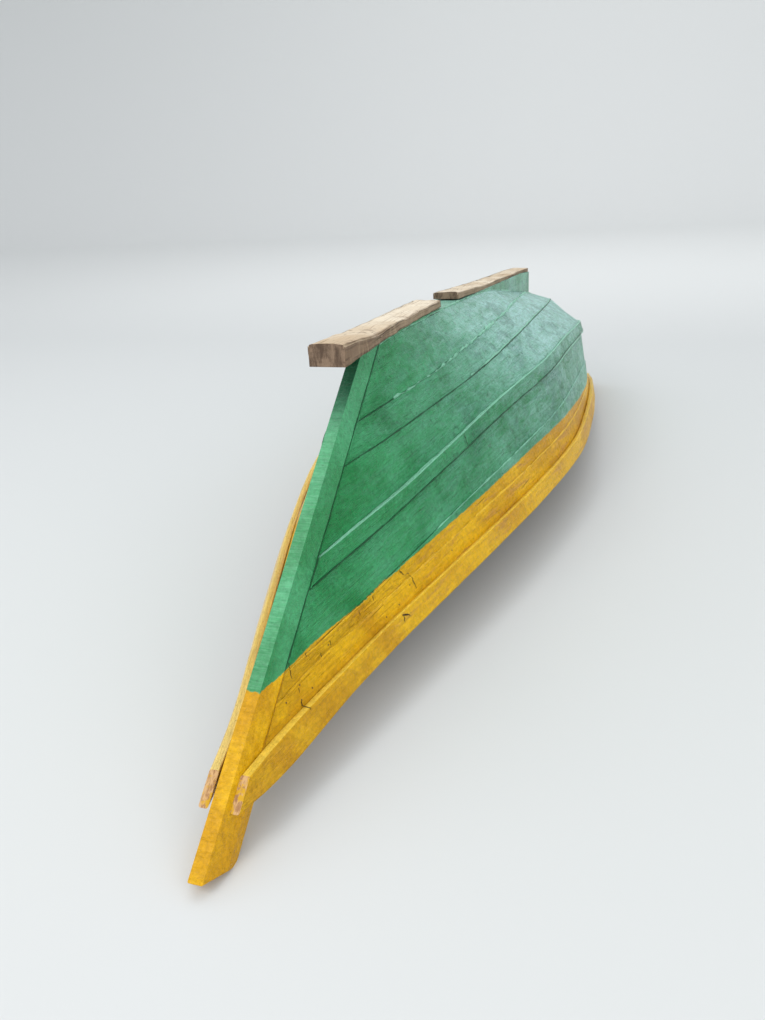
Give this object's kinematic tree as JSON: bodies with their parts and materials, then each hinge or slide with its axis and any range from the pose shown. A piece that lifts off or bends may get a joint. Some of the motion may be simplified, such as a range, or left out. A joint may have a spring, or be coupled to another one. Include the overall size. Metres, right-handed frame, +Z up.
{
  "type": "planked v-bottom wooden boat, keel up",
  "caption": "Open planked wooden boat with a V bottom, raked stem, transom stern, keel shoe and rubbing rails, stored keel up on its stem head and transom corners.",
  "frame": {"origin": "on the floor, under the middle of the boat's length and breadth", "axes": "+Z up with the boat keel up, -Y towards the bow, +X to the boat's starboard side as it lies"},
  "size_m": [1.3586, 4.9294, 1.1169],
  "materials": {
    "green_paint": "brushed gloss paint, weathered",
    "yellow_paint": "brushed gloss paint, weathered",
    "raw_timber": "rough sawn and adzed",
    "bare_wood": "bare and weathered"
  },
  "bodies": {
    "root": {"aft_shoe": "raw_timber", "apron": "bare_wood", "breasthook": "bare_wood", "fifth_strake_port": "green_paint", "fifth_strake_starboard": "green_paint", "fore_shoe": "raw_timber", "frame_1": "bare_wood", "frame_2": "bare_wood", "frame_3": "bare_wood", "frame_4": "bare_wood", "frame_5": "bare_wood", "frame_6": "bare_wood", "garboard_port": "green_paint", "garboard_starboard": "green_paint", "inwale_port": "bare_wood", "inwale_starboard": "bare_wood", "keel": "green_paint", "quarter_knee_port": "bare_wood", "quarter_knee_starboard": "bare_wood", "rail_port": "yellow_paint", "rail_starboard": "yellow_paint", "riser_port": "bare_wood", "riser_starboard": "bare_wood", "second_strake_port": "green_paint", "second_strake_starboard": "green_paint", "sheer_strake_port": "yellow_paint", "sheer_strake_starboard": "yellow_paint", "sixth_strake_port": "green_paint", "sixth_strake_starboard": "green_paint", "skeg": "green_paint", "stem": "yellow_paint", "stern_post": "bare_wood", "third_strake_port": "green_paint", "third_strake_starboard": "green_paint", "thwart_1": "bare_wood", "thwart_2": "bare_wood", "thwart_3": "bare_wood", "thwart_4": "bare_wood", "thwart_5": "bare_wood", "transom": "green_paint", "wale_strake_aft_port": "green_paint", "wale_strake_aft_starboard": "green_paint", "wale_strake_fore_port": "green_paint", "wale_strake_fore_starboard": "green_paint"}
  },
  "joints": []
}
